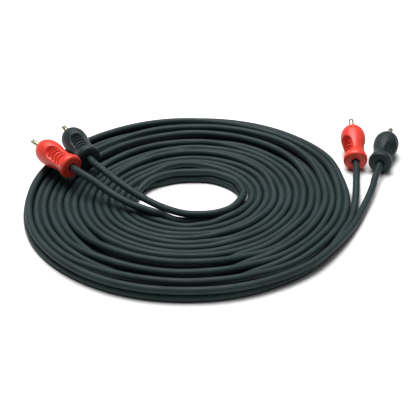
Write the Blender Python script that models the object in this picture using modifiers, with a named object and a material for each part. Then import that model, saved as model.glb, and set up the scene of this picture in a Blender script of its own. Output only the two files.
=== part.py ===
"""A stereo RCA audio cable, coiled flat: a twin cord with a moulded plug on each of its four ends.

Metres, +Z up, with the table at z = 0 and the origin under the middle of the whole cable's box.
Run it with blender --background --python part.py, or from Blender's text editor.
"""

import math

import bmesh
import bpy
from mathutils import Matrix, Vector
from mathutils.geometry import interpolate_bezier

MM = 0.001

# Clearances
CLEARANCE = 0.3 * MM
FLOOR_CLEARANCE = 0.05 * MM

# Cord
CORD_DIAMETER = 4.0 * MM
CORD_SIDE_STEPS = 3
TUBE_SPACING = 2.5 * CORD_DIAMETER

# Coil
COIL_SHIFT = -16.75 * MM
COIL_RADIUS = 90.0 * MM
HOLE_RADIUS = 26.0 * MM
FLAT_TURNS_RADIUS = 52.0 * MM
UPRIGHT_TURNS_RADIUS = 61.0 * MM
COIL_HEIGHT = 2.0 * CORD_DIAMETER
FLAT_TURNS_HEIGHT = CORD_DIAMETER + CLEARANCE
COIL_EDGE_ROUNDING = 1.4 * MM
COIL_STEPS = 60

# Grip
GRIP_LENGTH = 28.5 * MM
COLLAR_RADIUS = 6.9 * MM
COLLAR_PLACE = 2.4 * MM
COLLAR_ROUNDING = 1.5 * MM
WAIST_RADIUS = 5.8 * MM
WAIST_PLACE = 8.8 * MM
BULB_RADIUS = 7.4 * MM
BULB_PLACE = 22.0 * MM
NOSE_WALL = 0.55 * MM
GRIP_STEPS = 24
CORD_SEAT_DEPTH = 6.0 * MM

# Finger recesses and their ribs
RECESS_WALL = 1.1 * MM
RECESS_HALF_WIDTH = 4.2 * MM
RECESS_FRONT = 18.6 * MM
RECESS_REAR = 5.6 * MM
RIB_COUNT = 4
RIB_PITCH = 2.8 * MM
RIB_THICKNESS = 1.1 * MM
RIB_SWEEP = math.radians(100.0)
RIB_BULGE = 2.0 * MM

# Between the two plugs of a pair
PLUG_GAP = 0.2 * MM

# Ground shell
SHELL_INNER_RADIUS = 4.15 * MM
SHELL_WALL = 0.5 * MM
SHELL_BACK_GAP = 1.4 * MM
SHELL_BACK_THICKNESS = 1.0 * MM
SHELL_PROUD = 1.2 * MM
SHELL_SLOT_WIDTH = 0.8 * MM
SHELL_SLOT_LENGTH = 6.5 * MM
SHELL_STEPS = 24

# How far a cutter runs past what it cuts
CUT_PAST = 1.0 * MM

# Centre pin
PIN_RADIUS = 1.6 * MM
PIN_PROUD = 11.1 * MM
PIN_BACK = 15.4 * MM
PIN_CUP_RADIUS = 0.75 * MM
PIN_CUP_DEPTH = 3.0 * MM
PIN_TIP_ROUNDING = 1.0 * MM
PIN_SLOT_WIDTH = 0.5 * MM
PIN_SLOT_LENGTH = 5.0 * MM
PIN_STEPS = 16

# Insulator, inner mould and the stripped end of the cord
INSULATOR_LENGTH = 3.4 * MM
NECK_WALL = 0.7 * MM
NECK_PROUD = 0.8 * MM
MOULD_RADIUS = 3.8 * MM
MOULD_SETBACK = 2.1 * MM
CORE_RADIUS = 1.1 * MM
CORE_GAP = 1.9 * MM
CONDUCTOR_RADIUS = 0.45 * MM
SHIELD_WIRE_RADIUS = 0.35 * MM
INNER_STEPS = 16

# Worked out from the sizes above
COIL_CENTRE = Vector((COIL_SHIFT, 0.0, 0.0))
CORD_RADIUS = CORD_DIAMETER / 2
BORE_RADIUS = CORD_RADIUS + CLEARANCE
CAVITY_RADIUS = MOULD_RADIUS + CLEARANCE
RECESS_FLOOR = CAVITY_RADIUS + RECESS_WALL
SHELL_RADIUS = SHELL_INNER_RADIUS + SHELL_WALL
MOUTH_RADIUS = SHELL_RADIUS + CLEARANCE
NOSE_RADIUS = MOUTH_RADIUS + NOSE_WALL
SHELL_BACK = RECESS_FRONT + SHELL_BACK_GAP
MOUTH_FLOOR = SHELL_BACK - CLEARANCE
SHELL_FRONT = GRIP_LENGTH + SHELL_PROUD
PIN_BORE_RADIUS = PIN_RADIUS + CLEARANCE
NECK_RADIUS = PIN_BORE_RADIUS + NECK_WALL
INSULATOR_BACK = SHELL_BACK + SHELL_BACK_THICKNESS + CLEARANCE
NECK_REAR = SHELL_BACK - NECK_PROUD
MOULD_FRONT = NECK_REAR - CLEARANCE
SHIELD_WIRE_OFFSET = NECK_RADIUS + CLEARANCE + SHIELD_WIRE_RADIUS
STRIPPED_START = CORD_SEAT_DEPTH + CLEARANCE
MOULD_REAR = STRIPPED_START + MOULD_SETBACK
CORE_END = PIN_BACK - CORE_GAP

# Places beside and on the coil are chosen by hand from the photograph and tied to the coil's sizes:
# how far across the turns, the angle from +X, and the height in cord diameters. Across runs from 0 at
# the hole's edge to 1 at the outer edge; below 0 and above 1 it counts cord diameters from that edge.

# Each pair of plugs: the place of the red one's rear face, and the direction from it to the black one's
PAIRS = {
    "left": {"across": 0.624, "angle": 168.9, "towards_black": 51.5, "lies_on": COIL_HEIGHT + CLEARANCE},
    "right": {"across": 4.40, "angle": 19.1, "towards_black": -11.5, "lies_on": FLOOR_CLEARANCE},
}

# Each plug's turn from +Y towards -X, its nose's rise, and the turn of its recesses from straight up
PLUGS = {
    "left_red": {"yaw": 42.3, "pitch": 0.6, "roll": -32.0},
    "left_black": {"yaw": 28.5, "pitch": 1.8, "roll": -16.0},
    "right_red": {"yaw": -1.5, "pitch": 10.0, "roll": -62.0},
    "right_black": {"yaw": -17.0, "pitch": 3.0, "roll": 52.0},
}

# Each free end's route from the coil to its plug: across, angle, height
TAILS = {
    "left_red": [
        (-0.95, -82.2, 0.55), (-1.03, -95.2, 0.57), (-0.95, -108.9, 0.70), (-0.75, -121.5, 1.05),
        (0.003, -129.6, 1.68), (0.036, -140.3, 1.80), (0.133, -157.7, 2.10), (0.262, -171.7, 2.70),
        (0.422, -182.1, 3.55),
    ],
    "left_black": [
        (-0.65, -67.9, 1.62), (-1.24, -92.7, 1.70), (-1.30, -125.2, 1.98), (-0.45, -156.6, 2.15),
        (0.104, -176.5, 2.65), (0.292, -190.8, 3.35), (0.401, -196.2, 3.65),
    ],
    "right_red": [
        (1.60, -16.5, 0.55), (1.60, -8.8, 0.62), (1.70, -4.8, 0.80), (1.85, -0.6, 0.95),
        (2.23, 3.9, 1.10), (3.00, 10.7, 1.30),
    ],
    "right_black": [
        (1.80, -16.8, 1.70), (2.36, -12.5, 1.35), (2.72, -8.1, 1.02), (3.39, -3.2, 1.00),
        (4.37, 3.3, 1.18), (5.55, 8.8, 1.45),
    ],
}

# Colours as linear values, with each material's metallic value and roughness
MATERIALS = {
    "cord": ((0.025, 0.030, 0.030), 0.0, 0.55),
    "red_grip": ((0.80, 0.045, 0.025), 0.0, 0.40),
    "black_grip": ((0.028, 0.032, 0.034), 0.0, 0.45),
    "nickel": ((0.72, 0.70, 0.62), 1.0, 0.25),
    "white_plastic": ((0.80, 0.80, 0.76), 0.0, 0.45),
    "inner_mould": ((0.55, 0.55, 0.52), 0.0, 0.50),
    "core_insulation": ((0.78, 0.78, 0.74), 0.0, 0.50),
    "copper": ((0.80, 0.38, 0.22), 1.0, 0.30),
}


def clear_scene():
    for item in list(bpy.data.objects):
        bpy.data.objects.remove(item, do_unlink=True)


def new_collection(name):
    collection = bpy.data.collections.new(name)
    bpy.context.scene.collection.children.link(collection)
    return collection


def new_material(name, look):
    colour, metallic, roughness = MATERIALS[look]
    material = bpy.data.materials.new(name)
    material.use_nodes = True
    shader = material.node_tree.nodes["Principled BSDF"]
    shader.inputs["Base Color"].default_value = (*colour, 1.0)
    shader.inputs["Metallic"].default_value = metallic
    shader.inputs["Roughness"].default_value = roughness
    material.diffuse_color = (*colour, 1.0)
    return material


def add_part(name, data, look, parent=None):
    """A named piece with a material of its own, in its parent's frame."""
    part = bpy.data.objects.new(name, data)
    PARTS.objects.link(part)
    part.parent = parent
    data.materials.append(new_material(name, look))
    return part


def add_cutter(name, data, parent):
    """A shape that cuts or joins a part, kept out of the render."""
    cutter = bpy.data.objects.new(name, data)
    CUTTERS.objects.link(cutter)
    cutter.parent = parent
    cutter.hide_render = True
    cutter.display_type = "WIRE"
    return cutter


def profile_mesh(name, points, closed):
    """A line of (radius, height) points in the XZ plane, ready for the Screw modifier."""
    mesh = bpy.data.meshes.new(name)
    edges = [(i, i + 1) for i in range(len(points) - 1)]
    if closed:
        edges.append((len(points) - 1, 0))
    mesh.from_pydata([(radius, 0.0, height) for radius, height in points], edges, [])
    return mesh


def turn(part, steps):
    """Turns a profile about the part's Z axis."""
    screw = part.modifiers.new("turn", "SCREW")
    screw.axis = "Z"
    screw.angle = math.tau
    screw.steps = steps
    screw.render_steps = steps
    screw.use_merge_vertices = True
    screw.merge_threshold = 0.00001
    screw.use_smooth_shade = True


def turned(name, points, steps, look, parent=None, closed=True):
    part = add_part(name, profile_mesh(name, points, closed), look, parent)
    turn(part, steps)
    return part


def boolean(part, tool, operation):
    modifier = part.modifiers.new(tool.name, "BOOLEAN")
    modifier.operation = operation
    modifier.solver = "EXACT"
    modifier.object = tool


def box_mesh(name, size, centre):
    mesh = bpy.data.meshes.new(name)
    shape = bmesh.new()
    place = Matrix.Translation(centre) @ Matrix.Diagonal((*size, 1.0))
    bmesh.ops.create_cube(shape, size=1.0, matrix=place)
    shape.to_mesh(mesh)
    shape.free()
    return mesh


def rod_mesh(name, radius, bottom, top, sides, offset=(0.0, 0.0)):
    mesh = bpy.data.meshes.new(name)
    shape = bmesh.new()
    place = Matrix.Translation((*offset, (bottom + top) / 2))
    bmesh.ops.create_cone(
        shape, cap_ends=True, segments=sides, radius1=radius, radius2=radius, depth=top - bottom, matrix=place
    )
    shape.to_mesh(mesh)
    shape.free()
    return mesh


def line_curve(name, points, radius, side_steps):
    """A tube along the points, with filled caps."""
    curve = bpy.data.curves.new(name, "CURVE")
    curve.dimensions = "3D"
    curve.bevel_depth = radius
    curve.bevel_resolution = side_steps
    curve.use_fill_caps = True
    spline = curve.splines.new("POLY")
    spline.points.add(len(points) - 1)
    for point, place in zip(spline.points, points):
        point.co = (*place, 1.0)
        point.tilt = 0.0
    return curve


def mesh_of(source, name):
    """The curve object's mesh with its caps welded; the curve itself is removed."""
    bpy.context.view_layer.update()
    evaluated = source.evaluated_get(bpy.context.evaluated_depsgraph_get())
    mesh = bpy.data.meshes.new_from_object(evaluated)
    mesh.name = name
    shape = bmesh.new()
    shape.from_mesh(mesh)
    bmesh.ops.remove_doubles(shape, verts=shape.verts, dist=0.000001)
    shape.to_mesh(mesh)
    shape.free()
    bpy.data.objects.remove(source, do_unlink=True)
    return mesh


def arc(centre_radius, height, start, end, steps):
    """Points (radius, height) of a quarter round, by centre, size and angles in degrees."""
    radius, size = centre_radius
    turns = [math.radians(start + (end - start) * i / steps) for i in range(steps + 1)]
    return [(radius + size * math.cos(t), height + size * math.sin(t)) for t in turns]


def blend(low, high, share):
    """A smooth step from low to high."""
    return low + (high - low) * (0.5 - 0.5 * math.cos(math.pi * share))


def grip_outline():
    """The outer side of the grip from its nose down to its rear face."""
    nose_drop = GRIP_LENGTH - BULB_PLACE
    nose_start = math.asin(NOSE_RADIUS / BULB_RADIUS)
    dome_height = nose_drop / math.cos(nose_start)
    dome = []
    for i in range(6):
        t = nose_start + (math.pi / 2 - nose_start) * i / 5
        dome.append((BULB_RADIUS * math.sin(t), BULB_PLACE + dome_height * math.cos(t)))
    body = []
    for i in range(1, 6):
        share = i / 5
        radius = blend(BULB_RADIUS, WAIST_RADIUS, share)
        body.append((radius, BULB_PLACE + (WAIST_PLACE - BULB_PLACE) * share))
    flare_end = COLLAR_PLACE + COLLAR_ROUNDING
    flare = []
    for i in range(1, 4):
        share = i / 4
        radius = WAIST_RADIUS + (COLLAR_RADIUS - WAIST_RADIUS) * share ** 2.2
        flare.append((radius, WAIST_PLACE + (flare_end - WAIST_PLACE) * share))
    rounding = (COLLAR_RADIUS - COLLAR_ROUNDING, COLLAR_ROUNDING)
    collar = arc(rounding, COLLAR_PLACE, 40, 0, 2)
    edge = arc(rounding, COLLAR_ROUNDING, 0, -90, 4)
    return dome + body + flare + collar + edge


def add_grip(name, look, frame):
    inside = [
        (BORE_RADIUS, 0.0),
        (BORE_RADIUS, CORD_SEAT_DEPTH),
        (CAVITY_RADIUS, CORD_SEAT_DEPTH),
        (CAVITY_RADIUS, MOUTH_FLOOR),
        (MOUTH_RADIUS, MOUTH_FLOOR),
        (MOUTH_RADIUS, GRIP_LENGTH),
    ]
    grip = turned(name + "_grip", grip_outline() + inside, GRIP_STEPS, look, frame)
    for number, side in enumerate((1, -1), start=1):
        boolean(grip, recess_cutter(f"{name}_recess_{number}", side, frame), "DIFFERENCE")
        boolean(grip, recess_ribs(f"{name}_ribs_{number}", side, frame), "UNION")
    return grip


def recess_cutter(name, side, frame):
    """An arch-shaped block, round towards the nose, down to a rounded floor."""
    depth = BULB_RADIUS
    centre = RECESS_FRONT - RECESS_HALF_WIDTH
    turns = [math.pi * i / 12 for i in range(13)]
    outline = [(RECESS_HALF_WIDTH * math.cos(t), centre + RECESS_HALF_WIDTH * math.sin(t)) for t in turns]
    outline += [(-RECESS_HALF_WIDTH, RECESS_REAR), (RECESS_HALF_WIDTH, RECESS_REAR)]
    curve = bpy.data.curves.new(name, "CURVE")
    curve.dimensions = "2D"
    curve.fill_mode = "BOTH"
    curve.extrude = depth / 2
    spline = curve.splines.new("POLY")
    spline.points.add(len(outline) - 1)
    for point, (across, along) in zip(spline.points, outline):
        point.co = (across, along, 0.0, 1.0)
    spline.use_cyclic_u = True
    flat = bpy.data.objects.new(name + "_outline", curve)
    CUTTERS.objects.link(flat)
    mesh = mesh_of(flat, name)
    cutter = add_cutter(name, mesh, frame)
    cutter.location = (0.0, side * (RECESS_HALF_WIDTH / 2 + depth / 2), 0.0)
    cutter.rotation_euler = (math.pi / 2, 0.0, 0.0)
    label = name + "_floor"
    floor = rod_mesh(label, RECESS_FLOOR, RECESS_REAR - CUT_PAST, RECESS_FRONT + CUT_PAST, GRIP_STEPS)
    boolean(cutter, add_cutter(label, floor, frame), "DIFFERENCE")
    return cutter


def recess_ribs(name, side, frame):
    """Crescent ribs round the recess's floor, bulging towards the nose."""
    shape = bmesh.new()
    for number in range(RIB_COUNT):
        front = RECESS_FRONT - RIB_PITCH * (number + 0.8)
        points = []
        for i in range(7):
            t = RIB_SWEEP * (i / 6 - 0.5)
            height = front - RIB_BULGE * (2 * t / RIB_SWEEP) ** 2
            points.append((RECESS_FLOOR * math.sin(t), side * RECESS_FLOOR * math.cos(t), height))
        curve = line_curve(name + "_curve", points, RIB_THICKNESS / 2, 1)
        rib = bpy.data.objects.new(name + "_curve", curve)
        CUTTERS.objects.link(rib)
        mesh = mesh_of(rib, name + "_one")
        shape.from_mesh(mesh)
        bpy.data.meshes.remove(mesh)
    joined = bpy.data.meshes.new(name)
    shape.to_mesh(joined)
    shape.free()
    return add_cutter(name, joined, frame)


def add_ground_shell(name, frame):
    hole = NECK_RADIUS + CLEARANCE
    points = [
        (SHELL_RADIUS - SHELL_WALL / 2, SHELL_FRONT),
        (SHELL_RADIUS, SHELL_FRONT - SHELL_WALL / 2),
        (SHELL_RADIUS, SHELL_BACK),
        (hole, SHELL_BACK),
        (hole, SHELL_BACK + SHELL_BACK_THICKNESS),
        (SHELL_INNER_RADIUS, SHELL_BACK + SHELL_BACK_THICKNESS),
        (SHELL_INNER_RADIUS, SHELL_FRONT - SHELL_WALL / 2),
    ]
    shell = turned(name + "_ground_shell", points, SHELL_STEPS, "nickel", frame)
    reach = SHELL_RADIUS * 3
    height = SHELL_SLOT_LENGTH + SHELL_PROUD
    middle = (0.0, 0.0, SHELL_FRONT + SHELL_PROUD - height / 2)
    sizes = {"x": (reach, SHELL_SLOT_WIDTH, height), "y": (SHELL_SLOT_WIDTH, reach, height)}
    for direction, size in sizes.items():
        label = f"{name}_shell_slot_{direction}"
        boolean(shell, add_cutter(label, box_mesh(label, size, middle), frame), "DIFFERENCE")
    return shell


def add_center_pin(name, frame):
    tip = GRIP_LENGTH + PIN_PROUD
    rounding = (PIN_RADIUS - PIN_TIP_ROUNDING, PIN_TIP_ROUNDING)
    points = [(0.0, tip)] + arc(rounding, tip - PIN_TIP_ROUNDING, 90, 0, 4)
    points += [
        (PIN_RADIUS, PIN_BACK),
        (PIN_CUP_RADIUS, PIN_BACK),
        (PIN_CUP_RADIUS, PIN_BACK + PIN_CUP_DEPTH),
        (0.0, PIN_BACK + PIN_CUP_DEPTH),
    ]
    pin = turned(name + "_center_pin", points, PIN_STEPS, "nickel", frame, closed=False)
    height = PIN_SLOT_LENGTH * 2
    size = (PIN_SLOT_WIDTH, PIN_RADIUS * 3, height)
    label = name + "_pin_slot"
    boolean(pin, add_cutter(label, box_mesh(label, size, (0.0, 0.0, tip)), frame), "DIFFERENCE")
    return pin


def add_insulator(name, frame):
    flange = SHELL_INNER_RADIUS - CLEARANCE
    points = [
        (flange, INSULATOR_BACK + INSULATOR_LENGTH),
        (flange, INSULATOR_BACK),
        (NECK_RADIUS, INSULATOR_BACK),
        (NECK_RADIUS, NECK_REAR),
        (PIN_BORE_RADIUS, NECK_REAR),
        (PIN_BORE_RADIUS, INSULATOR_BACK + INSULATOR_LENGTH),
    ]
    return turned(name + "_insulator", points, INNER_STEPS, "white_plastic", frame)


def add_inner_mould(name, frame):
    core_bore = CORE_RADIUS + CLEARANCE
    pin_bore_rear = PIN_BACK - CLEARANCE
    points = [
        (MOULD_RADIUS, MOULD_FRONT),
        (MOULD_RADIUS, MOULD_REAR),
        (core_bore, MOULD_REAR),
        (core_bore, pin_bore_rear),
        (PIN_BORE_RADIUS, pin_bore_rear),
        (PIN_BORE_RADIUS, MOULD_FRONT),
    ]
    mould = turned(name + "_inner_mould", points, INNER_STEPS, "inner_mould", frame)
    label = name + "_wire_channel"
    bore = SHIELD_WIRE_RADIUS + CLEARANCE
    start, end = MOULD_REAR - CUT_PAST, MOULD_FRONT + CUT_PAST
    channel = rod_mesh(label, bore, start, end, 12, (SHIELD_WIRE_OFFSET, 0.0))
    boolean(mould, add_cutter(label, channel, frame), "DIFFERENCE")
    return mould


def add_stripped_end(name, frame):
    """The core's insulation, the conductor and the gathered shield, inside the plug."""
    bore = CONDUCTOR_RADIUS + CLEARANCE
    points = [
        (CORE_RADIUS, CORE_END),
        (CORE_RADIUS, STRIPPED_START),
        (bore, STRIPPED_START),
        (bore, CORE_END),
    ]
    turned(name + "_core_insulation", points, INNER_STEPS, "core_insulation", frame)
    conductor_end = PIN_BACK + PIN_CUP_DEPTH - CLEARANCE
    label = name + "_conductor"
    add_part(label, rod_mesh(label, CONDUCTOR_RADIUS, STRIPPED_START, conductor_end, 12), "copper", frame)
    start = CORE_RADIUS + CLEARANCE + SHIELD_WIRE_RADIUS
    route = [
        Vector((start, 0.0, STRIPPED_START)),
        Vector(((start + SHIELD_WIRE_OFFSET) / 2, 0.0, (STRIPPED_START + MOULD_REAR) / 2)),
        Vector((SHIELD_WIRE_OFFSET, 0.0, MOULD_REAR)),
        Vector((SHIELD_WIRE_OFFSET, 0.0, SHELL_BACK - CLEARANCE)),
    ]
    label = name + "_shield_wire"
    add_part(label, line_curve(label, route, SHIELD_WIRE_RADIUS, 2), "copper", frame)


def place_by_coil(across, angle, height):
    """The point at that share or distance across the coil's turns, angle and height."""
    if across < 0:
        radius = HOLE_RADIUS + across * CORD_DIAMETER
    elif across > 1:
        radius = COIL_RADIUS + (across - 1) * CORD_DIAMETER
    else:
        radius = HOLE_RADIUS + across * (COIL_RADIUS - HOLE_RADIUS)
    turn_angle = math.radians(angle)
    return COIL_CENTRE + Vector((radius * math.cos(turn_angle), radius * math.sin(turn_angle), height))


def plug_frame(name):
    """An empty at the middle of the plug's rear face, with +Z along the plug to its nose."""
    plug = PLUGS[name]
    pair = PAIRS[name.split("_")[0]]
    yaw, pitch, roll = (math.radians(plug[key]) for key in ("yaw", "pitch", "roll"))
    nose = Vector((-math.sin(yaw) * math.cos(pitch), math.cos(yaw) * math.cos(pitch), math.sin(pitch)))
    side = Vector((math.cos(yaw), math.sin(yaw), 0.0))
    recess = side.cross(nose) * math.cos(roll) + side * math.sin(roll)
    collar_foot = COLLAR_RADIUS * math.cos(pitch) - COLLAR_ROUNDING * math.sin(pitch)
    bulb_foot = BULB_RADIUS * math.cos(pitch) - BULB_PLACE * math.sin(pitch)
    place = place_by_coil(pair["across"], pair["angle"], pair["lies_on"] + max(collar_foot, bulb_foot))
    if name.endswith("black"):
        apart = math.radians(pair["towards_black"])
        place += Vector((math.cos(apart), math.sin(apart), 0.0)) * (2 * COLLAR_RADIUS + PLUG_GAP)
    frame = bpy.data.objects.new(name + "_frame", None)
    PARTS.objects.link(frame)
    frame.empty_display_size = GRIP_LENGTH / 5
    across = recess.cross(nose)
    turning = Matrix((across, recess, nose)).transposed().to_4x4()
    frame.matrix_world = Matrix.Translation(place) @ turning
    return frame


def add_plug(name):
    frame = plug_frame(name)
    look = "red_grip" if name.endswith("red") else "black_grip"
    add_grip(name, look, frame)
    add_ground_shell(name, frame)
    add_center_pin(name, frame)
    add_insulator(name, frame)
    add_inner_mould(name, frame)
    add_stripped_end(name, frame)
    return frame


def smooth_route(points, spacing):
    """Evenly spaced points along a smooth curve through the route's own points."""
    fine = []
    for i in range(len(points) - 1):
        before = points[max(i - 1, 0)]
        after = points[min(i + 2, len(points) - 1)]
        here, there = points[i], points[i + 1]
        reach = (there - here).length / 3
        lead = here + (there - before).normalized() * reach
        trail = there - (after - here).normalized() * reach
        fine += interpolate_bezier(here, lead, trail, there, 17)[:-1]
    fine.append(points[-1])
    lengths = [0.0]
    for a, b in zip(fine, fine[1:]):
        lengths.append(lengths[-1] + (b - a).length)
    count = max(2, round(lengths[-1] / spacing))
    even = []
    index = 0
    for step in range(count + 1):
        target = lengths[-1] * step / count
        while index < len(fine) - 2 and lengths[index + 1] < target:
            index += 1
        share = (target - lengths[index]) / (lengths[index + 1] - lengths[index])
        even.append(fine[index].lerp(fine[index + 1], share))
    return even


def add_tail(name, frame):
    """One strand's free end, from the coil into its plug's rear bore."""
    free = [place_by_coil(across, angle, height * CORD_DIAMETER) for across, angle, height in TAILS[name]]
    entry = [
        frame.matrix_world @ Vector((0.0, 0.0, height))
        for height in (-CORD_SEAT_DEPTH, 0.0, CORD_SEAT_DEPTH - CLEARANCE)
    ]
    points = smooth_route(free + entry, TUBE_SPACING)
    label = name + "_tail"
    return add_part(label, line_curve(label, points, CORD_RADIUS, CORD_SIDE_STEPS), "cord")


def add_coil():
    """The coil's outer shape: a turned ring, higher where the turns stand on edge."""
    size = COIL_EDGE_ROUNDING
    outer_top = arc((COIL_RADIUS - size, size), COIL_HEIGHT - size, 90, 0, 2)
    outer_foot = arc((COIL_RADIUS - size, size), size, 0, -90, 2)
    inner_foot = arc((HOLE_RADIUS + size, size), size, 270, 180, 2)
    inner_top = arc((HOLE_RADIUS + size, size), FLAT_TURNS_HEIGHT - size, 180, 90, 2)
    step = []
    for i in range(4):
        share = i / 3
        radius = FLAT_TURNS_RADIUS + (UPRIGHT_TURNS_RADIUS - FLAT_TURNS_RADIUS) * share
        step.append((radius, blend(FLAT_TURNS_HEIGHT, COIL_HEIGHT, share)))
    coil = turned("cord_coil", outer_top + outer_foot + inner_foot + inner_top + step, COIL_STEPS, "cord")
    coil.location = COIL_CENTRE
    return coil


clear_scene()
PARTS = new_collection("rca_audio_cable")
CUTTERS = new_collection("cutters")
add_coil()
for plug_name in PLUGS:
    add_tail(plug_name, add_plug(plug_name))
bpy.context.view_layer.update()
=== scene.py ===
import math

import bmesh
import bpy
from mathutils import Matrix, Vector
from mathutils.geometry import interpolate_bezier


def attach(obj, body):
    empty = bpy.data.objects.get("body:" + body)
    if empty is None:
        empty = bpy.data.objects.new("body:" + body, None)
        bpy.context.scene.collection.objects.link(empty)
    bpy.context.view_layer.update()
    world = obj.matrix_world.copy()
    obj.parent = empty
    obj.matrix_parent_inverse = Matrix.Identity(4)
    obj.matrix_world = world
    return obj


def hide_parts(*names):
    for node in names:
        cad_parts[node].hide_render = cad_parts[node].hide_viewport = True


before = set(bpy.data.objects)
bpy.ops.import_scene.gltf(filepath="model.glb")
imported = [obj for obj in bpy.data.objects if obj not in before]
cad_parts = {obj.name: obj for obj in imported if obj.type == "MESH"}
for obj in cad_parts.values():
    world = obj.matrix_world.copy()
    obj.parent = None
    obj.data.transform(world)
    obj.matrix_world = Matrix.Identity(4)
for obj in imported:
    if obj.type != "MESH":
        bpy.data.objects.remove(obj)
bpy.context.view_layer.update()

MM = 0.001
COIL_CENTRE = Vector((-16.75, 0.0, 0.0)) * MM
COIL_RADIUS = 90.0 * MM
HOLE_RADIUS = 26.0 * MM
CORD_DIAMETER = 4.0 * MM
CORD_RADIUS = CORD_DIAMETER / 2
PAIR_GAP = 0.08 * MM
LOW = CORD_RADIUS + 0.05 * MM
COIL_STEP = 6.0
WEB_STEP = 2.0
ROUTE_SPACING = 2.0 * MM
CURVE_STEPS = 9
CORD_ROUNDNESS = 6
WEB_HALF_THICK = 0.42
WEB_HALF_WIDE = 0.62

SENSOR_WIDTH = 36.0
LENS = 92.6
CAMERA_PLACE = Vector((-3.95, -510.7, 326.8)) * MM
CAMERA_TILT = math.radians(57.0)

KEY_PLACE, KEY_SIZE, KEY_POWER = (-0.1, 0.30, 1.0), 0.9, 18.0
FILL_PLACE, FILL_SIZE, FILL_POWER = (0.3, -0.9, 0.9), 0.8, 0.5
WORLD_STRENGTH = 0.16

FLOOR_HALF = 3
FLOOR_ROUGHNESS = 0.9
FLOOR_LIFT = 0.22
# Painted shade on the floor: within SLIT_REACH of the cord, the white lift and the paper's colour
# fade to dark.
SLIT_REACH = 8.0 * MM
LIFT_PAINTED_SHADE_RANGE = (0.45, 0.85)
PAPER_AND_PAINTED_SHADE_STOPS = ((0.18, (0.02, 0.024, 0.025)), (0.52, (0.9, 0.9, 0.9)))


def add(name, data):
    """A new object of that name in the scene."""
    made = bpy.data.objects.new(name, data)
    bpy.context.scene.collection.objects.link(made)
    return made


def mesh_from(name, shape):
    """The bmesh as a mesh, and the bmesh freed."""
    mesh = bpy.data.meshes.new(name)
    shape.to_mesh(mesh)
    shape.free()
    return mesh


# Camera
camera_data = bpy.data.cameras.new("camera")
camera_data.sensor_width = SENSOR_WIDTH
camera_data.lens = LENS
camera = add("camera", camera_data)
camera.location = CAMERA_PLACE
camera.rotation_euler = (CAMERA_TILT, 0.0, 0.0)
bpy.context.scene.camera = camera

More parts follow.
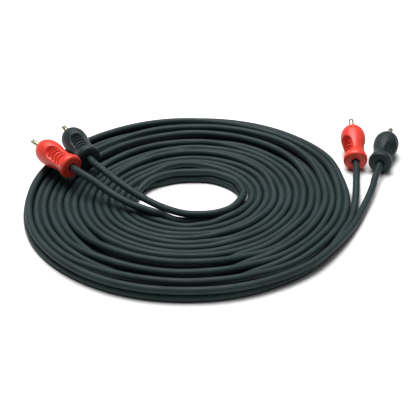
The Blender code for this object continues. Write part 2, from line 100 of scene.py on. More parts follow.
# Cord routes
# Along the coil the cord is followed by its angle in degrees, clockwise from above. 0 is the right
# side, 90 the front, and every 360 is one more turn.
# Each stop: angle, radius in mm of the middle of the pair, lean of the pair in degrees
# (0 lies flat with the black plug's strand inside, 90 stands with it on top, 180 has it outside,
# and below 0 the red plug's strand is the higher one).
STOPS = [
    (20, 91.9, 152), (30, 91.0, 130), (45, 91.6, 110), (60, 90.8, 102), (75, 90.3, 92),
    (90, 89.6, 86), (120, 89.9, 92), (150, 89.6, 78), (180, 87.8, 71), (230, 88.4, 44),
    (255, 88.0, 52),
    (270, 90.3, 32), (285, 91.9, 18), (300, 93.1, 8), (315, 93.5, 6), (330, 93.1, 4),
    (345, 89.3, 22),
    (360, 87.3, 8), (375, 85.2, 12), (390, 82.3, 15), (405, 80.8, 12), (420, 79.0, -14),
    (435, 80.9, -55), (450, 82.3, -88), (480, 79.1, -26), (510, 81.5, 14), (540, 81.6, 5),
    (590, 80.4, 10), (615, 79.6, 45), (630, 80.3, 46), (645, 81.8, 48), (660, 83.2, 48),
    (675, 84.0, 50), (690, 83.9, 34), (705, 81.2, 22), (720, 79.4, 18), (735, 76.7, 36),
    (750, 74.5, 25), (765, 72.1, 10), (780, 70.2, -12), (795, 72.9, -55), (810, 74.6, -88),
    (840, 73.7, -66), (870, 72.7, 1), (900, 73.3, 0), (950, 69.0, 55), (975, 70.5, 48),
    (990, 72.3, 50), (1005, 73.1, 50), (1020, 74.1, 50), (1035, 74.8, 50), (1050, 74.8, 38),
    (1065, 73.6, 8), (1080, 71.5, 20), (1095, 69.5, 26), (1110, 66.2, 20), (1125, 64.7, 8),
    (1140, 62.6, -14), (1155, 64.6, -55), (1170, 65.7, -86), (1200, 65.2, -74), (1230, 64.4, -20),
    (1260, 64.7, -8), (1310, 60.2, 45), (1335, 61.0, 45), (1350, 63.1, 32), (1365, 64.5, 29),
    (1380, 66.3, 5), (1395, 66.4, 2), (1410, 66.1, -14), (1425, 65.2, -9), (1440, 63.1, -10),
    (1455, 61.2, 3), (1470, 58.6, 0), (1485, 56.7, 0), (1500, 55.0, 0), (1515, 54.6, -8),
    (1530, 54.2, -14), (1560, 54.2, -6), (1590, 56.0, -6), (1620, 56.2, 0), (1670, 53.0, 8),
    (1695, 54.8, 28), (1710, 55.9, 0), (1725, 57.0, 0), (1740, 58.0, 0), (1755, 57.9, -10),
    (1770, 57.1, -15), (1785, 56.1, -16), (1800, 55.0, -5), (1815, 52.5, 0), (1830, 50.2, 0),
    (1845, 48.3, -6), (1860, 47.1, -14), (1875, 45.6, 0), (1890, 45.4, 0), (1920, 45.9, 8),
    (1950, 47.7, 6), (1980, 47.7, 0), (2030, 44.4, -45), (2055, 45.6, -50), (2070, 46.6, -44),
    (2085, 47.5, -42), (2100, 48.4, -36), (2115, 49.4, -24), (2130, 49.2, -25), (2145, 47.9, -6),
    (2160, 46.5, 0), (2175, 44.1, -8), (2190, 42.2, -22), (2205, 40.2, -20), (2220, 39.0, -28),
    (2235, 37.7, -14), (2250, 37.3, -6), (2280, 37.9, 0), (2310, 39.3, 0), (2340, 39.4, 0),
    (2390, 36.0, 6), (2415, 38.4, 20), (2430, 39.0, 21), (2445, 39.6, 9), (2460, 39.8, 3),
    (2475, 39.9, 0), (2490, 39.8, -4), (2505, 39.3, -6), (2520, 38.0, 0), (2535, 35.6, 12),
    (2550, 33.9, 28), (2565, 31.9, 28), (2580, 30.4, 8), (2595, 29.7, 8), (2610, 29.2, 0),
    (2640, 29.4, 14), (2670, 31.3, 15), (2700, 31.2, 10), (2750, 24.3, 96), (2775, 23.2, 104),
    (2790, 23.0, 98), (2805, 23.9, 100), (2820, 26.1, 110), (2835, 27.6, 107), (2850, 29.7, 110),
    (2865, 30.9, 92), (2880, 30.9, 109), (2895, 29.4, 102), (2910, 28.3, 98), (2925, 26.4, 90),
    (2940, 24.1, 88),
]

# The free ends: how far across the turns (0 the hole's edge, 1 the outer edge, and cord diameters
# beyond either), the angle from +X in degrees, and the height in cord diameters.
TAILS = {
    "left_red": [
        (-0.95, -82.2, 0.55), (-1.03, -95.2, 0.57), (-0.95, -108.9, 0.70), (-0.75, -121.5, 1.05),
        (0.003, -129.6, 1.68), (0.036, -140.3, 1.80), (0.133, -157.7, 2.10), (0.262, -171.7, 2.70),
        (0.422, -182.1, 3.55),
    ],
    "left_black": [
        (-0.65, -67.9, 1.62), (-1.24, -92.7, 1.62), (-1.30, -125.2, 1.88), (-0.45, -156.6, 2.05),
        (0.104, -176.5, 2.65), (0.292, -190.8, 3.35), (0.401, -196.2, 3.65),
    ],
    "right_red": [
        (1.40, -13.4, 0.52), (1.66, -7.1, 0.55), (2.00, -1.1, 0.68), (2.42, 4.4, 0.92),
        (3.06, 10.5, 1.25),
    ],
    "right_black": [
        (2.32, -13.5, 0.92), (2.93, -6.8, 0.94), (3.86, -0.2, 1.08), (4.85, 5.2, 1.25),
        (5.55, 8.8, 1.45),
    ],
}

# Where a strand runs straight on the plug's axis: behind the rear face, at it, and near the seat
ENTRY_DEPTHS = (-6.0 * MM, 0.0, 5.7 * MM)


def place_by_coil(across, angle, height):
    """A point by how far across the turns it lies, its angle and its height in metres."""
    if across < 0:
        radius = HOLE_RADIUS + across * CORD_DIAMETER
    elif across > 1:
        radius = COIL_RADIUS + (across - 1) * CORD_DIAMETER
    else:
        radius = HOLE_RADIUS + across * (COIL_RADIUS - HOLE_RADIUS)
    turn = math.radians(angle)
    return COIL_CENTRE + Vector((radius * math.cos(turn), radius * math.sin(turn), height))


# Each plug's frame as in the CAD: the middle of its rear face in mm, then in degrees the turn of
# the nose from +Y towards -X, the nose's rise, and the recess's turn from straight up.
PLUGS = {
    "left_red": ((-81.453, 12.694, 15.469), 42.3, 0.6, -32.0),
    "left_black": ((-72.737, 23.651, 15.149), 28.5, 1.8, -16.0),
    "right_red": ((81.147, 33.9, 6.585), -1.5, 10.0, -62.0),
    "right_black": ((94.866, 31.109, 6.862), -17.0, 3.0, 52.0),
}


def plug_matrix(name):
    """The plug's frame, with +Z to its nose and +Y out of its upper recess."""
    at, yaw, pitch, roll = PLUGS[name]
    yaw, pitch, roll = (math.radians(value) for value in (yaw, pitch, roll))
    level = math.cos(pitch)
    nose = Vector((-math.sin(yaw) * level, math.cos(yaw) * level, math.sin(pitch)))
    side = Vector((math.cos(yaw), math.sin(yaw), 0.0))
    recess = side.cross(nose) * math.cos(roll) + side * math.sin(roll)
    turning = Matrix((recess.cross(nose), recess, nose)).transposed().to_4x4()
    return Matrix.Translation(Vector(at) * MM) @ turning


def catmull(stops, column, angle):
    """The value at an angle, smoothly between the stops."""
    i = 1
    while i < len(stops) - 2 and stops[i + 1][0] < angle:
        i += 1
    before, here, there = stops[i - 1], stops[i], stops[i + 1]
    after = stops[min(i + 2, len(stops) - 1)]
    if angle < here[0]:
        before, here, there, after = stops[0], stops[0], stops[1], stops[2]
    span = there[0] - here[0]
    share = (angle - here[0]) / span
    lead = (there[column] - before[column]) / (there[0] - before[0]) * span
    trail = (after[column] - here[column]) / (after[0] - here[0]) * span
    a = 2 * share ** 3 - 3 * share ** 2 + 1
    b = share ** 3 - 2 * share ** 2 + share
    c = -2 * share ** 3 + 3 * share ** 2
    d = share ** 3 - share ** 2
    return a * here[column] + b * lead + c * there[column] + d * trail


def coil_points(step):
    """Both strands through the coil, from the right plugs' end to the left plugs' end."""
    red, black = [], []
    start, end = STOPS[0][0], STOPS[-1][0]
    count = round((end - start) / step)
    apart = CORD_DIAMETER + PAIR_GAP
    for i in range(count + 1):
        angle = start + (end - start) * i / count
        middle, lean = catmull(STOPS, 1, angle) * MM, catmull(STOPS, 2, angle)
        turn, tip = math.radians(-angle), math.radians(lean)
        out = Vector((math.cos(turn), math.sin(turn), 0.0))
        across, rise = math.cos(tip) * apart / 2, math.sin(tip) * apart
        low = LOW - min(0.0, rise)
        red.append(COIL_CENTRE + out * (middle + across) + Vector((0.0, 0.0, low)))
        black.append(COIL_CENTRE + out * (middle - across) + Vector((0.0, 0.0, low + rise)))
    return red, black


def even(points, spacing):
    """Evenly spaced points along a smooth curve through the points."""
    fine = []
    for i in range(len(points) - 1):
        before = points[max(i - 1, 0)]
        after = points[min(i + 2, len(points) - 1)]
        here, there = points[i], points[i + 1]
        reach = (there - here).length / 3
        lead = here + (there - before).normalized() * reach
        trail = there - (after - here).normalized() * reach
        fine += interpolate_bezier(here, lead, trail, there, CURVE_STEPS)[:-1]
    fine.append(points[-1])
    lengths = [0.0]
    for a, b in zip(fine, fine[1:]):
        lengths.append(lengths[-1] + (b - a).length)
    count = max(2, round(lengths[-1] / spacing))
    made, index = [], 0
    for i in range(count + 1):
        target = lengths[-1] * i / count
        while index < len(fine) - 2 and lengths[index + 1] < target:
            index += 1
        share = (target - lengths[index]) / max(lengths[index + 1] - lengths[index], 1e-12)
        made.append(fine[index].lerp(fine[index + 1], share))
    return made, lengths[-1]


def entry(name):
    """The last points of a strand, straight into its plug."""
    matrix = plug_matrix(name)
    return [matrix @ Vector((0.0, 0.0, z)) for z in ENTRY_DEPTHS]


def tail(name):
    """A free end of the cord, from the coil into its plug."""
    points = [
        place_by_coil(across, angle, height * CORD_DIAMETER)
        for across, angle, height in TAILS[name]
    ]
    return points + entry(name)


def strand_route(colour, through):
    """A whole strand, from the right plug through the coil to the left plug."""
    return list(reversed(tail("right_" + colour))) + through + tail("left_" + colour)


def cord_curve(name, points):
    """A round cord along the points, as an open curve."""
    curve = bpy.data.curves.new(name, "CURVE")
    curve.dimensions = "3D"
    curve.bevel_depth = CORD_RADIUS
    curve.bevel_resolution = CORD_ROUNDNESS
    curve.use_fill_caps = True
    spline = curve.splines.new("POLY")
    spline.points.add(len(points) - 1)
    for point, place in zip(spline.points, points):
        point.co = (*place, 1.0)
    spline.use_smooth = True
    return add(name, curve)


# Materials: colours are linear, distances in metres
NOISE_SPREAD = (0.3, 0.7)


def new_look(name, colour, metallic=0.0):
    """A Principled material: itself, its node tree, its shader and the object's coordinates."""
    made = bpy.data.materials.new(name)
    made.use_nodes = True
    tree = made.node_tree
    shader = tree.nodes["Principled BSDF"]
    shader.inputs["Base Color"].default_value = (*colour, 1.0)
    shader.inputs["Metallic"].default_value = metallic
    place = tree.nodes.new("ShaderNodeTexCoord")
    return made, tree, shader, place.outputs["Object"]


def noise(tree, place, scale, detail, stretch=None):
    """A 0 to 1 noise at that scale, stretched along the axes where that is given."""
    if stretch:
        mapping = tree.nodes.new("ShaderNodeMapping")
        mapping.inputs["Scale"].default_value = stretch
        tree.links.new(place, mapping.inputs["Vector"])
        place = mapping.outputs["Vector"]
    node = tree.nodes.new("ShaderNodeTexNoise")
    node.inputs["Scale"].default_value = scale
    node.inputs["Detail"].default_value = detail
    tree.links.new(place, node.inputs["Vector"])
    return node.outputs["Fac"]


def ramp(tree, value, stops):
    """Turns a 0 to 1 value into colours at the given places."""
    node = tree.nodes.new("ShaderNodeValToRGB")
    for element, (position, colour) in zip(node.color_ramp.elements, (stops[0], stops[-1])):
        element.position, element.color = position, (*colour, 1.0)
    for position, colour in stops[1:-1]:
        node.color_ramp.elements.new(position).color = (*colour, 1.0)
    tree.links.new(value, node.inputs["Fac"])
    return node.outputs["Color"]


def map_range(tree, value, source, target):
    """The value taken from one range, a pair of its ends, to another."""
    node = tree.nodes.new("ShaderNodeMapRange")
    node.inputs["From Min"].default_value, node.inputs["From Max"].default_value = source
    node.inputs["To Min"].default_value, node.inputs["To Max"].default_value = target
    tree.links.new(value, node.inputs["Value"])
    return node.outputs["Result"]


def uneven(tree, shader, value, roughness):
    """Lets the shader's roughness follow a noise between the two ends of the pair."""
    tree.links.new(map_range(tree, value, NOISE_SPREAD, roughness), shader.inputs["Roughness"])


def bump(tree, shader, height, distance, strength, below=None):
    """Relief on the shader's surface, on top of the relief below where that is given."""
    node = tree.nodes.new("ShaderNodeBump")
    node.inputs["Distance"].default_value = distance
    node.inputs["Strength"].default_value = strength
    tree.links.new(height, node.inputs["Height"])
    if below:
        tree.links.new(below, node.inputs["Normal"])
    tree.links.new(node.outputs["Normal"], shader.inputs["Normal"])
    return node.outputs["Normal"]


def jacket_look():
    """Soft dark PVC: a matt satin skin with faint bloom, handling marks and an extruded grain."""
    made, tree, shader, place = new_look("cord_jacket", JACKET_MIDDLE)
    bloom = noise(tree, place, 45.0, 4.0)
    stops = ((0.30, JACKET_DARK), (0.55, JACKET_MIDDLE), (0.75, JACKET_LIGHT))
    tree.links.new(ramp(tree, bloom, stops), shader.inputs["Base Color"])
    uneven(tree, shader, noise(tree, place, 160.0, 5.0), JACKET_ROUGHNESS)
    shader.inputs["Specular IOR Level"].default_value = JACKET_SPECULAR
    first = bump(tree, shader, noise(tree, place, 2600.0, 2.0), 0.00003, 0.35)
    bump(tree, shader, noise(tree, place, 420.0, 3.0), 0.00006, 0.30, first)
    return made


def plastic_look(name, dark, middle, light, roughness, specular=0.5):
    """Moulded plastic: slight colour change where the melt flowed, fine grain and soft wear."""
    made, tree, shader, place = new_look(name, middle)
    flow = noise(tree, place, 120.0, 4.0, (1.0, 1.0, 0.6))
    stops = ((0.28, dark), (0.52, middle), (0.76, light))
    tree.links.new(ramp(tree, flow, stops), shader.inputs["Base Color"])
    uneven(tree, shader, noise(tree, place, 300.0, 5.0), roughness)
    shader.inputs["Specular IOR Level"].default_value = specular
    first = bump(tree, shader, noise(tree, place, 3200.0, 2.0), 0.00002, 0.30)
    bump(tree, shader, noise(tree, place, 500.0, 2.0), 0.00005, 0.20, first)
    return made


def metal_look(name, dark, light, roughness, stretch):
    """Metal with small stains and uneven polish, and fine marks that run across the stretch."""
    made, tree, shader, place = new_look(name, light, 1.0)
    stain = noise(tree, place, 350.0, 4.0)
    tree.links.new(ramp(tree, stain, ((0.30, dark), (0.60, light))), shader.inputs["Base Color"])
    uneven(tree, shader, noise(tree, place, 700.0, 3.0), roughness)
    bump(tree, shader, noise(tree, place, 900.0, 2.0, stretch), 0.00001, 0.35)
    return made


JACKET_DARK = (0.012, 0.024, 0.025)
JACKET_MIDDLE = (0.017, 0.032, 0.033)
JACKET_LIGHT = (0.023, 0.040, 0.041)
JACKET_ROUGHNESS = (0.50, 0.64)
JACKET_SPECULAR = 0.22
TURNED = (1.0, 1.0, 9.0)
DRAWN = (9.0, 9.0, 1.0)

CORD_LOOK = jacket_look()
RED_LOOK = plastic_look(
    "red_grip", (0.64, 0.032, 0.014), (0.72, 0.042, 0.020), (0.78, 0.056, 0.030), (0.40, 0.52)
)
BLACK_LOOK = plastic_look(
    "black_grip", (0.012, 0.022, 0.023), (0.016, 0.028, 0.029), (0.022, 0.035, 0.036),
    (0.46, 0.58), specular=0.25,
)
SHELL_LOOK = metal_look(
    "plated_shell", (0.62, 0.58, 0.44), (0.78, 0.76, 0.66), (0.20, 0.34), TURNED
)
PIN_LOOK = metal_look("plated_pin", (0.50, 0.48, 0.34), (0.68, 0.66, 0.52), (0.20, 0.36), TURNED)
WHITE_LOOK = plastic_look(
    "white_insulator", (0.70, 0.70, 0.66), (0.78, 0.78, 0.74), (0.82, 0.82, 0.79), (0.38, 0.50)
)
MOULD_LOOK = plastic_look(
    "inner_mould", (0.46, 0.46, 0.43), (0.55, 0.55, 0.52), (0.60, 0.60, 0.57), (0.45, 0.60)
)
CORE_LOOK = plastic_look(
    "core_insulation", (0.70, 0.70, 0.65), (0.78, 0.78, 0.74), (0.82, 0.82, 0.78), (0.42, 0.55)
)
COPPER_LOOK = metal_look("copper", (0.50, 0.20, 0.10), (0.80, 0.38, 0.22), (0.28, 0.45), DRAWN)


def dress(item, look):
    """Gives the piece its look as its only material, on the one body that there is."""
    item.data.materials.clear()
    item.data.materials.append(look)
    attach(item, "root")


# The twin cord
red_coil, black_coil = coil_points(COIL_STEP)
for colour, through in (("red", red_coil), ("black", black_coil)):
    points, length = even(strand_route(colour, through), ROUTE_SPACING)
    strand = cord_curve(colour + "_strand", points)
    dress(strand, CORD_LOOK)
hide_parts("cord_coil", "left_red_tail", "right_red_tail")
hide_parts("left_black_tail", "right_black_tail")


def web_between(first, second):
    """The thin web that joins the two strands of the pair through the coil."""
    shape = bmesh.new()
    rows = []
    for i in range(len(first)):
        a, b = first[i], second[i]
        ahead = (first[min(i + 1, len(first) - 1)] - first[max(i - 1, 0)]).normalized()
        across = (b - a).normalized()
        thick = ahead.cross(across).normalized() * WEB_HALF_THICK * MM
        middle = (a + b) / 2
        wide = across * WEB_HALF_WIDE * MM
        corners = ((-1, 1), (1, 1), (1, -1), (-1, -1))
        rows.append([shape.verts.new(middle + s * wide + t * thick) for s, t in corners])
    for one, two in zip(rows, rows[1:]):
        for k in range(4):
            shape.faces.new((one[k], one[(k + 1) % 4], two[(k + 1) % 4], two[k]))
    shape.faces.new(rows[0][::-1])
    shape.faces.new(rows[-1])
    bmesh.ops.recalc_face_normals(shape, faces=shape.faces)
    return add("cord_web", mesh_from("cord_web", shape))


dress(web_between(*coil_points(WEB_STEP)), CORD_LOOK)

# Plug sizes in millimetres
GRIP_LENGTH, COLLAR_RADIUS, COLLAR_PLACE, COLLAR_ROUNDING = 28.5, 6.9, 2.4, 1.5
WAIST_RADIUS, WAIST_PLACE, BULB_RADIUS, BULB_PLACE, NOSE_RADIUS = 5.8, 8.8, 7.4, 22.0, 5.5
BORE_RADIUS, SEAT_DEPTH, CAVITY_RADIUS, MOUTH_FLOOR, MOUTH_RADIUS = 2.3, 6.0, 4.1, 19.7, 4.95
RECESS_FLOOR, RECESS_HALF_WIDTH, RECESS_FRONT, RECESS_REAR = 4.7, 4.2, 18.6, 5.6
RECESS_EDGE, RECESS_REAR_SLOPE = (-0.35, 0.75), 0.8
RIB_COUNT, RIB_PITCH, RIB_SWEEP, RIB_BULGE = 4, 2.8, math.radians(100.0), 2.0
RIB_HALF_WIDTH, RIB_RISE, RIB_EDGE = 0.78, 1.45, (0.1, 0.9)
SHELL_INNER, SHELL_OUTER, SHELL_BACK, SHELL_FRONT = 4.15, 4.65, 20.0, 29.7
SHELL_HOLE, SHELL_WALL, SHELL_SLOT_WIDTH, SHELL_SLOT_DEPTH = 2.9, 1.0, 0.8, 7.7
PIN_RADIUS, PIN_BACK, PIN_TIP, PIN_ROUNDING = 1.6, 15.4, 39.6, 1.0
PIN_GROOVE, PIN_GROOVE_PLACE, PIN_CUP_RADIUS, PIN_CUP_DEPTH = 0.06, 34.4, 0.75, 3.0
PIN_SLOT = (0.32, 5.0, 8.0)
GRIP_STEPS, SHELL_STEPS, INSULATOR_STEPS, PIN_STEPS = 176, 96, 64, 48
DOME_ROWS, WAIST_ROWS, FLARE_ROWS, COLLAR_ROWS, FOOT_ROWS = 24, 88, 40, 8, 10
ROUNDED_FROM, CUT_FROM = math.radians(50.0), math.radians(35.0)


def smooth_step(low, high, value):
    """0 below the low value and 1 above the high one, with a soft rise between."""
    share = min(max((value - low) / (high - low), 0.0), 1.0)
    return share * share * (3 - 2 * share)


def grip_outline():
    """Rows of radius and height down the grip's outside, fine enough for the recess."""
    nose_start = math.asin(NOSE_RADIUS / BULB_RADIUS)
    dome_height = (GRIP_LENGTH - BULB_PLACE) / math.cos(nose_start)
    rows = [(NOSE_RADIUS - 0.32, GRIP_LENGTH), (NOSE_RADIUS - 0.12, GRIP_LENGTH - 0.06)]
    for i in range(1, DOME_ROWS + 1):
        t = nose_start + (math.pi / 2 - nose_start) * i / DOME_ROWS
        rows.append((BULB_RADIUS * math.sin(t), BULB_PLACE + dome_height * math.cos(t)))
    for i in range(1, WAIST_ROWS + 1):
        share = i / WAIST_ROWS
        swing = 0.5 - 0.5 * math.cos(math.pi * share)
        radius = BULB_RADIUS + (WAIST_RADIUS - BULB_RADIUS) * swing
        rows.append((radius, BULB_PLACE + (WAIST_PLACE - BULB_PLACE) * share))
    flare_end = COLLAR_PLACE + COLLAR_ROUNDING
    for i in range(1, FLARE_ROWS * 3 // 4 + 1):
        share = i / FLARE_ROWS
        radius = WAIST_RADIUS + (COLLAR_RADIUS - WAIST_RADIUS) * share ** 2.2
        rows.append((radius, WAIST_PLACE + (flare_end - WAIST_PLACE) * share))
    centre = COLLAR_RADIUS - COLLAR_ROUNDING
    start_radius, start_height = rows[-1]
    for i in range(1, COLLAR_ROWS + 1):
        t = math.radians(40 - 40 * i / COLLAR_ROWS)
        radius = centre + COLLAR_ROUNDING * math.cos(t)
        height = COLLAR_PLACE + COLLAR_ROUNDING * math.sin(t)
        share = min(1.0, i / 3)
        rows.append((
            start_radius + (radius - start_radius) * share,
            start_height + (height - start_height) * share,
        ))
    for i in range(1, FOOT_ROWS + 1):
        t = -math.pi / 2 * i / FOOT_ROWS
        height = COLLAR_ROUNDING + COLLAR_ROUNDING * math.sin(t)
        rows.append((centre + COLLAR_ROUNDING * math.cos(t), height))
    return rows


def recessed(radius, height, angle):
    """The radius once the finger recess and its ribs are taken in."""
    lean = math.asin(math.sin(angle))
    across = radius * math.sin(lean)
    middle = RECESS_FRONT - RECESS_HALF_WIDTH
    if height > middle:
        inside = RECESS_HALF_WIDTH - math.hypot(across, height - middle)
    else:
        inside = RECESS_HALF_WIDTH - abs(across)
    inside = min(inside, (height - RECESS_REAR) * RECESS_REAR_SLOPE)
    if inside <= RECESS_EDGE[0]:
        return radius
    depth = smooth_step(*RECESS_EDGE, inside)
    made = radius + (min(RECESS_FLOOR, radius) - radius) * depth
    if abs(lean) < RIB_SWEEP * 0.55:
        for number in range(RIB_COUNT):
            crest = RECESS_FRONT - RIB_PITCH * (number + 0.8)
            crest -= RIB_BULGE * (2 * lean / RIB_SWEEP) ** 2
            away = abs(height - crest) / RIB_HALF_WIDTH
            if away < 1:
                swell = (0.5 + 0.5 * math.cos(math.pi * away)) ** 0.8
                rise = RIB_RISE * swell * smooth_step(*RIB_EDGE, inside)
                made = max(made, min(radius - 0.05, RECESS_FLOOR + rise))
    return made


def ring_mesh(name, rows, steps, shaped=None, closed=True):
    """A turned solid from rows of radius and height, its radius changed by shaped where given."""
    shape = bmesh.new()
    rings = []
    for radius, height in rows:
        if radius < 1e-6:
            rings.append([shape.verts.new((0.0, 0.0, height * MM))])
            continue
        ring = []
        for k in range(steps):
            angle = math.tau * k / steps
            size = shaped(radius, height, angle) if shaped else radius
            ring.append(shape.verts.new((
                size * MM * math.sin(angle), size * MM * math.cos(angle), height * MM,
            )))
        rings.append(ring)
    pairs = list(zip(rings, rings[1:]))
    if closed:
        pairs.append((rings[-1], rings[0]))
    for one, two in pairs:
        for k in range(steps):
            n = (k + 1) % steps
            if len(one) == 1:
                shape.faces.new((one[0], two[n], two[k]))
            elif len(two) == 1:
                shape.faces.new((one[k], one[n], two[0]))
            else:
                shape.faces.new((one[k], one[n], two[n], two[k]))
    bmesh.ops.recalc_face_normals(shape, faces=shape.faces)
    for face in shape.faces:
        face.smooth = True
    return mesh_from(name, shape)


def piece(name, mesh, matrix, look, node):
    """A visible piece in the place of a CAD node."""
    made = add(name, mesh)
    made.matrix_world = matrix
    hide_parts(node)
    dress(made, look)


def cut(mesh, boxes):
    """The mesh with boxes (size and height of the middle, in millimetres) taken out of it."""
    body = add(mesh.name + "_body", mesh)
    tools = []
    for size, height in boxes:
        shape = bmesh.new()
        place = Matrix.Translation(Vector((0, 0, height)) * MM)
        place = place @ Matrix.Diagonal((*[v * MM for v in size], 1.0))
        bmesh.ops.create_cube(shape, size=1.0, matrix=place)
        tool = add("tool", mesh_from("tool", shape))
        modifier = body.modifiers.new("cut", "BOOLEAN")
        modifier.operation = "DIFFERENCE"
        modifier.solver = "EXACT"
        modifier.object = tool
        tools.append(tool)
    bpy.context.view_layer.update()
    seen = body.evaluated_get(bpy.context.evaluated_depsgraph_get())
    made = bpy.data.meshes.new_from_object(seen)
    for item in [body] + tools:
        bpy.data.objects.remove(item, do_unlink=True)
    for polygon in made.polygons:
        polygon.use_smooth = True
    made.set_sharp_from_angle(angle=CUT_FROM)
    return made


def grip_mesh(name):
    """The moulded grip: its outside with the recesses, its rear face, its bore and its mouth."""
    inside = [
        (BORE_RADIUS + 0.35, 0.0), (BORE_RADIUS + 0.10, 0.10), (BORE_RADIUS, 0.35),
        (BORE_RADIUS, SEAT_DEPTH), (CAVITY_RADIUS, SEAT_DEPTH), (CAVITY_RADIUS, MOUTH_FLOOR),
        (MOUTH_RADIUS, MOUTH_FLOOR), (MOUTH_RADIUS, GRIP_LENGTH - 0.15),
        (MOUTH_RADIUS + 0.08, GRIP_LENGTH - 0.03),
    ]
    outside = grip_outline()
    face = [(outside[-1][0] - 0.9, 0.0), (BORE_RADIUS + 1.1, 0.0)]
    mesh = ring_mesh(name, outside + face + inside, GRIP_STEPS, recessed)
    mesh.set_sharp_from_angle(angle=ROUNDED_FROM)
    return mesh


def shell_mesh(name):
    """The ground shell, with a cross of slots in its front."""
    floor_top = SHELL_BACK + SHELL_WALL
    rows = [
        (SHELL_OUTER - 0.22, SHELL_FRONT), (SHELL_OUTER - 0.06, SHELL_FRONT - 0.07),
        (SHELL_OUTER, SHELL_FRONT - 0.25), (SHELL_OUTER, SHELL_BACK), (SHELL_HOLE, SHELL_BACK),
        (SHELL_HOLE, floor_top), (SHELL_INNER, floor_top), (SHELL_INNER, SHELL_FRONT - 0.25),
        (SHELL_INNER + 0.06, SHELL_FRONT - 0.07), (SHELL_INNER + 0.18, SHELL_FRONT),
    ]
    mesh = ring_mesh(name, rows, SHELL_STEPS)
    middle = SHELL_FRONT + 1.2 - SHELL_SLOT_DEPTH / 2
    through = 14.0
    return cut(mesh, (
        ((through, SHELL_SLOT_WIDTH, SHELL_SLOT_DEPTH), middle),
        ((SHELL_SLOT_WIDTH, through, SHELL_SLOT_DEPTH), middle),
    ))


def pin_mesh(name):
    """The centre pin: a rounded tip with a slot, a fine groove, and a solder cup at its back."""
    centre = PIN_RADIUS - PIN_ROUNDING
    rows = [(0.0, PIN_TIP)]
    for i in range(1, 9):
        t = math.pi / 2 * (1 - i / 8)
        height = PIN_TIP - PIN_ROUNDING * (1 - math.sin(t))
        rows.append((centre + PIN_ROUNDING * math.cos(t), height))
    for height in (37.2, 34.6, PIN_GROOVE_PLACE, 30.0, 25.0, 20.0):
        rows.append((PIN_RADIUS - (PIN_GROOVE if height == PIN_GROOVE_PLACE else 0.0), height))
    cup_floor = PIN_BACK + PIN_CUP_DEPTH
    rows += [
        (PIN_RADIUS, PIN_BACK), (PIN_CUP_RADIUS, PIN_BACK), (PIN_CUP_RADIUS, cup_floor),
        (0.0, cup_floor),
    ]
    mesh = ring_mesh(name, rows, PIN_STEPS, closed=False)
    return cut(mesh, ((PIN_SLOT, PIN_TIP),))


def insulator_mesh(name):
    """The bush between the pin and the shell."""
    rows = [
        (3.70, 24.7), (3.82, 24.63), (3.85, 24.5), (3.85, 21.3), (2.6, 21.3), (2.6, 19.2),
        (1.9, 19.2), (1.9, 24.55), (1.98, 24.67), (2.12, 24.7),
    ]
    mesh = ring_mesh(name, rows, INSULATOR_STEPS)
    mesh.set_sharp_from_angle(angle=ROUNDED_FROM)
    return mesh


grips = grip_mesh("grip_shape")
shells = shell_mesh("shell_shape")
pins = pin_mesh("pin_shape")
insulators = insulator_mesh("insulator_shape")
for name in PLUGS:
    grip_look, grip_slot = (
        (RED_LOOK, "red_grip") if name.endswith("red") else (BLACK_LOOK, "black_grip")
    )
    for ending, mesh, look, slot, node in (
        ("_grip_shape", grips, grip_look, grip_slot, "_grip"),
        ("_shell", shells, SHELL_LOOK, "plated_shell", "_ground_shell"),
        ("_pin", pins, PIN_LOOK, "plated_pin", "_center_pin"),
        ("_ring", insulators, WHITE_LOOK, "white_insulator", "_insulator"),
    ):
        piece(name + ending, mesh.copy(), plug_matrix(name), look, name + node)
for mesh in (grips, shells, pins, insulators):
    bpy.data.meshes.remove(mesh)

# The CAD pieces that stay visible, inside the plugs
INNER_LOOKS = {
    "_inner_mould": MOULD_LOOK,
    "_core_insulation": CORE_LOOK,
    "_conductor": COPPER_LOOK,
    "_shield_wire": COPPER_LOOK,
}
for name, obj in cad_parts.items():
    for ending, look in INNER_LOOKS.items():
        if name.endswith(ending):
            for slot in obj.material_slots:
                slot.material = look

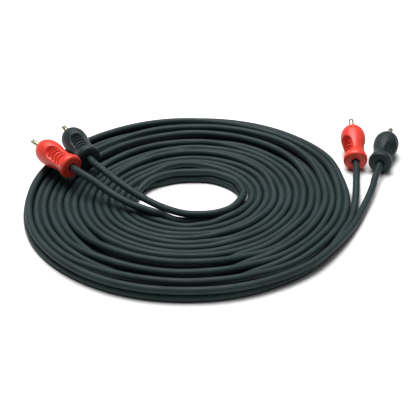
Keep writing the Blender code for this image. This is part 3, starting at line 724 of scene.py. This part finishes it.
# Studio
floor_mesh = bpy.data.meshes.new("floor")
corners = [(x * FLOOR_HALF, y * FLOOR_HALF, 0) for x, y in ((-1, -1), (1, -1), (1, 1), (-1, 1))]
floor_mesh.from_pydata(corners, [], [(0, 1, 2, 3)])
floor = add("floor", floor_mesh)
floor_look = bpy.data.materials.new("floor")
floor_look.use_nodes = True
floor_tree = floor_look.node_tree
floor_shader = floor_tree.nodes["Principled BSDF"]
floor_shader.inputs["Roughness"].default_value = FLOOR_ROUGHNESS
floor_shader.inputs["Emission Color"].default_value = (1, 1, 1, 1)


def combine(operation, first, second):
    """A maths node of the floor on an output and on an output or a number."""
    node = floor_tree.nodes.new("ShaderNodeMath")
    node.operation = operation
    floor_tree.links.new(first, node.inputs[0])
    if isinstance(second, float):
        node.inputs[1].default_value = second
    else:
        floor_tree.links.new(second, node.inputs[1])
    return node.outputs[0]


# The floor is lifted to white where the camera or a glossy surface sees it. Where it is hemmed in,
# its lift and its colour fade to dark with ambient occlusion: painted shade, so that the slits
# between the turns stay dark.
paths = floor_tree.nodes.new("ShaderNodeLightPath").outputs
open_sky = floor_tree.nodes.new("ShaderNodeAmbientOcclusion")
open_sky.inputs["Distance"].default_value = SLIT_REACH
seen = combine("MAXIMUM", paths["Is Camera Ray"], paths["Is Glossy Ray"])
lift = combine("MULTIPLY", seen, FLOOR_LIFT)
# Painted shade: the lift fades to none and the paper's colour to near black in the slits between
# the turns.
painted_shade_fade = map_range(floor_tree, open_sky.outputs["AO"], LIFT_PAINTED_SHADE_RANGE, (0.0, 1.0))
lift_with_painted_shade = combine("MULTIPLY", lift, painted_shade_fade)
paper_and_painted_shade = ramp(floor_tree, open_sky.outputs["AO"], PAPER_AND_PAINTED_SHADE_STOPS)
floor_tree.links.new(lift_with_painted_shade, floor_shader.inputs["Emission Strength"])
floor_tree.links.new(paper_and_painted_shade, floor_shader.inputs["Base Color"])
floor_mesh.materials.append(floor_look)

world = bpy.data.worlds.new("world")
bpy.context.scene.world = world
world.use_nodes = True
back = world.node_tree.nodes["Background"]
back.inputs["Color"].default_value = (1, 1, 1, 1)
back.inputs["Strength"].default_value = WORLD_STRENGTH


def lamp(name, place, size, power):
    """A round area lamp that points at the middle of the table."""
    data = bpy.data.lights.new(name, "AREA")
    data.shape = "DISK"
    data.size = size
    data.energy = power
    made = add(name, data)
    made.location = place
    made.rotation_mode = "QUATERNION"
    made.rotation_quaternion = Vector(place).to_track_quat("Z", "Y")


lamp("key", KEY_PLACE, KEY_SIZE, KEY_POWER)
lamp("fill", FILL_PLACE, FILL_SIZE, FILL_POWER)

bpy.context.scene.view_settings.view_transform = "Standard"
